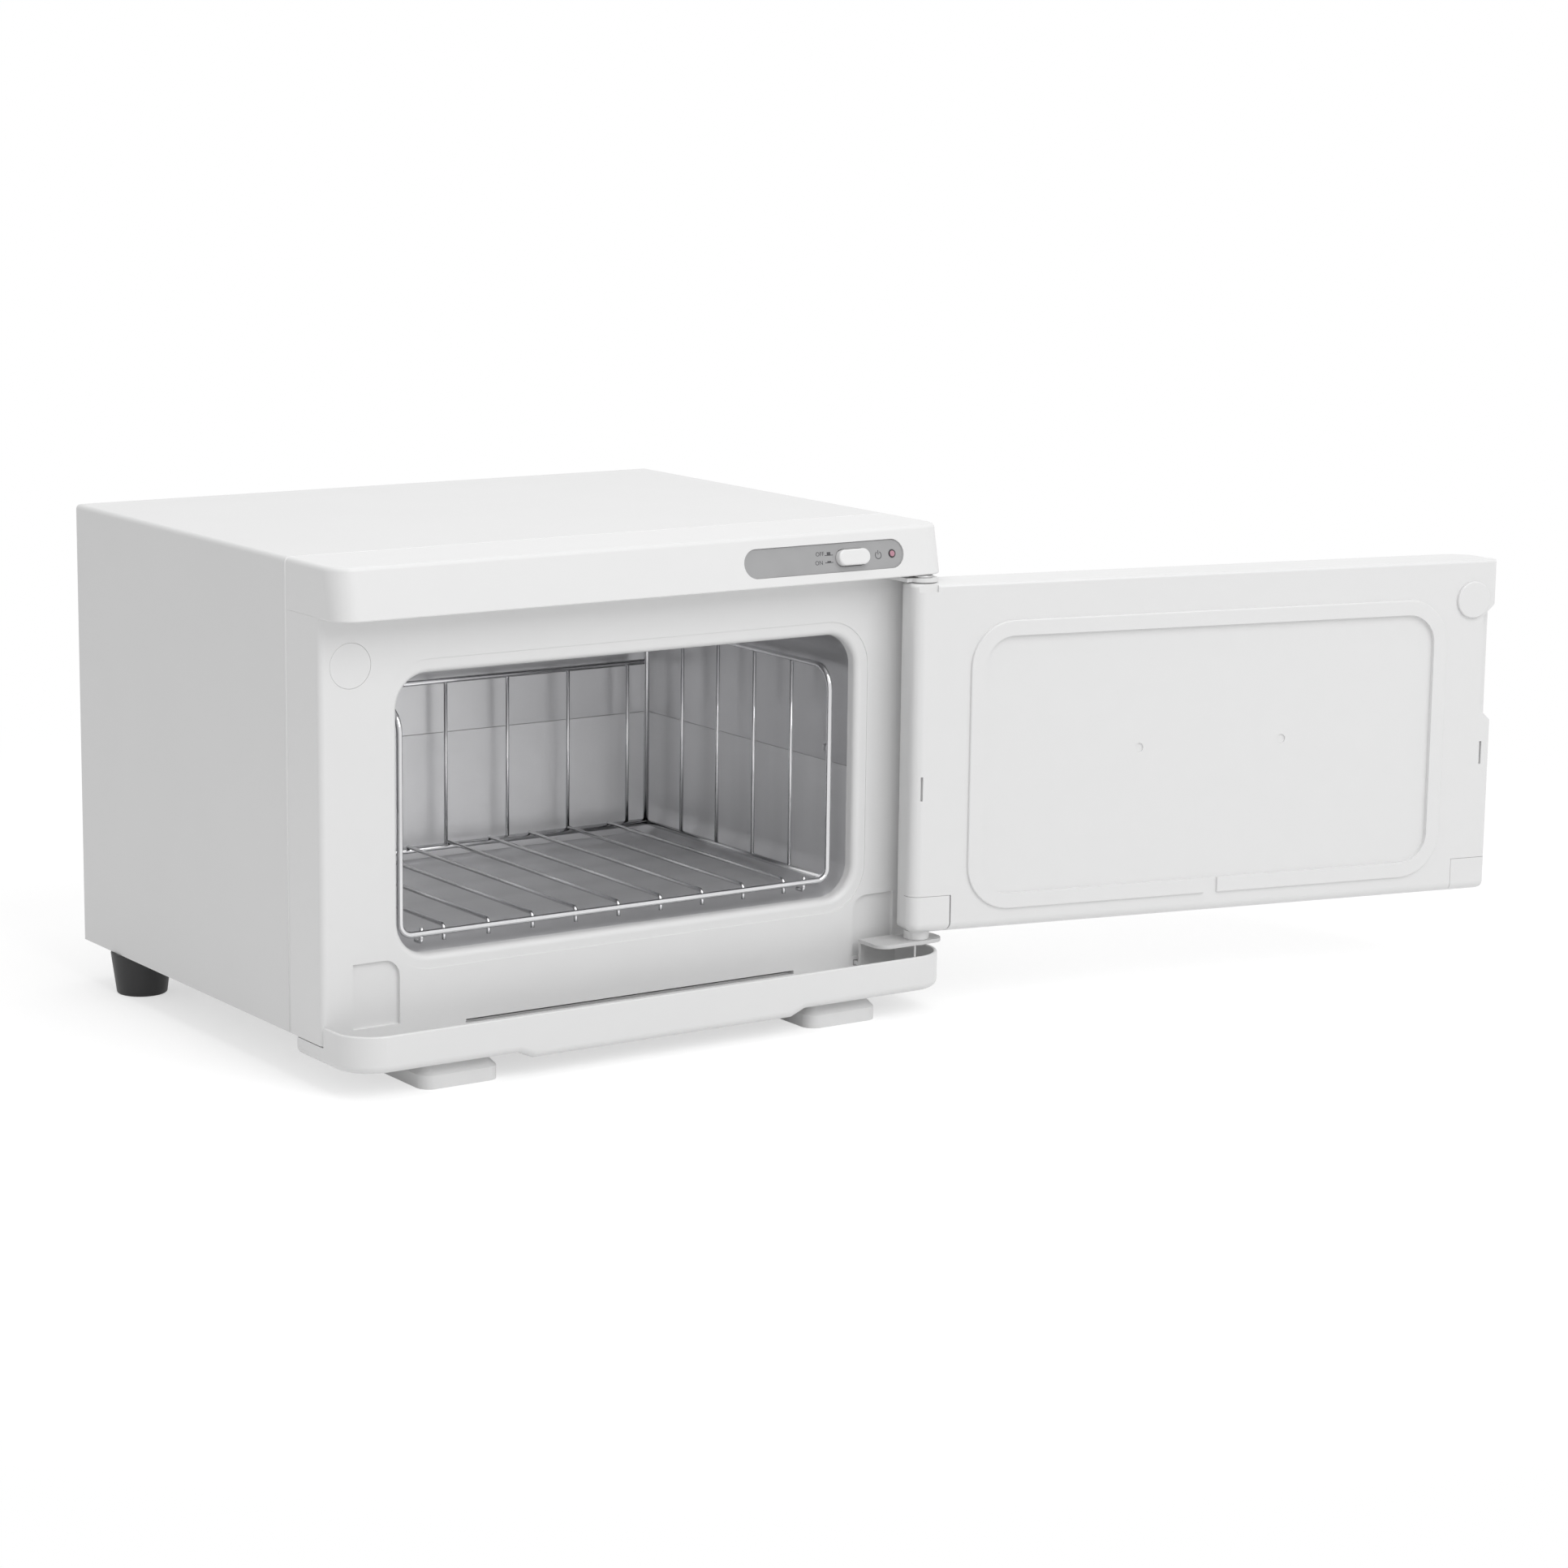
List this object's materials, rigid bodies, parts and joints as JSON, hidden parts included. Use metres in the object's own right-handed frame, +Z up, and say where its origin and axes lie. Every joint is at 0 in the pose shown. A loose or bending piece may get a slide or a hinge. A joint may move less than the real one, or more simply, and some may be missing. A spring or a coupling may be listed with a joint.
{
  "type": "hot towel cabinet",
  "caption": "White countertop hot towel cabinet with a side-hinged insulated door, metal chamber with wire basket, push switch and a drip tray under the front.",
  "frame": {"origin": "centre of the base plate's underside", "axes": "+X to the hinge side, +Y to the back, +Z up; the door stands open at rest"},
  "size_m": [0.6631, 0.3696, 0.2525],
  "materials": {
    "black_plastic": "matte moulded",
    "black_rubber": "matte",
    "board": "solder mask",
    "brass": "bright",
    "diode": "cast resin",
    "foam": "expanded bead",
    "grey_plate": "satin print",
    "heater_rubber": "matte silicone",
    "keeper_steel": "plain",
    "lead": "insulated wire",
    "liner_metal": "satin pressed",
    "magnet": "sintered ferrite",
    "red_lens": "clear tinted",
    "steel": "zinc plated",
    "white_paint": "satin powder coat",
    "white_plastic": "satin moulded",
    "white_rubber": "matte",
    "wire": "bright",
    "wool": "felted fibre"
  },
  "bodies": {
    "cabinet": {"body_wrap": "white_paint", "base_plate": "white_paint", "back_panel": "white_paint", "front_frame": "white_plastic", "top_fascia": "white_plastic", "control_plate": "grey_plate", "push_switch": "black_plastic", "indicator_bezel": "black_plastic", "indicator_lens": "red_lens", "indicator_diode": "diode", "control_board": "board", "board_screws": "steel", "liner_upper": "liner_metal", "liner_lower": "liner_metal", "heater_pad": "heater_rubber", "thermostat": "black_plastic", "thermal_fuse": "steel", "insulation": "wool", "power_inlet": "black_plastic", "inlet_blades": "brass", "inlet_screws": "steel", "back_panel_screws": "steel", "terminal_block": "black_plastic", "basket_left": "wire", "basket_right": "wire", "basket_back": "wire", "basket_floor": "wire", "lower_hinge_bracket": "white_paint", "upper_hinge_bracket": "white_paint", "lower_hinge_pin": "steel", "upper_hinge_pin": "steel", "hinge_washer": "white_plastic", "lower_bracket_screws": "steel", "upper_bracket_screws": "steel", "catch_magnet": "magnet", "magnet_cover": "white_plastic", "front_foot_left": "white_rubber", "front_foot_right": "white_rubber", "rear_foot_left": "black_rubber", "rear_foot_right": "black_rubber", "foot_screws": "steel", "mains_leads": "lead", "heater_leads": "lead", "switch_leads": "lead"},
    "door": {"door_shell": "white_plastic", "door_panel": "white_plastic", "door_core": "foam", "door_keeper": "keeper_steel", "keeper_cap": "white_plastic", "far_corner_cover": "white_plastic", "near_corner_cover": "white_plastic", "hinge_bushes": "white_plastic"},
    "button": {"power_button": "white_plastic"},
    "tray": {"drip_tray": "white_plastic"}
  },
  "joints": [
    {"name": "door_hinge", "type": "hinge", "parent": "cabinet", "child": "door", "pos_m": [0.1618, -0.1491, 0], "axis": [0, 0, 1], "range_deg": [-167.8, 0]},
    {"name": "power_press", "type": "slide", "parent": "cabinet", "child": "button", "axis": [0, 0.977, -0.2133], "range_m": [0, 0.002], "stiffness_N_per_m": 300},
    {"name": "tray_slide", "type": "slide", "parent": "cabinet", "child": "tray", "axis": [0, -1, 0], "range_m": [0, 0.06]}
  ]
}
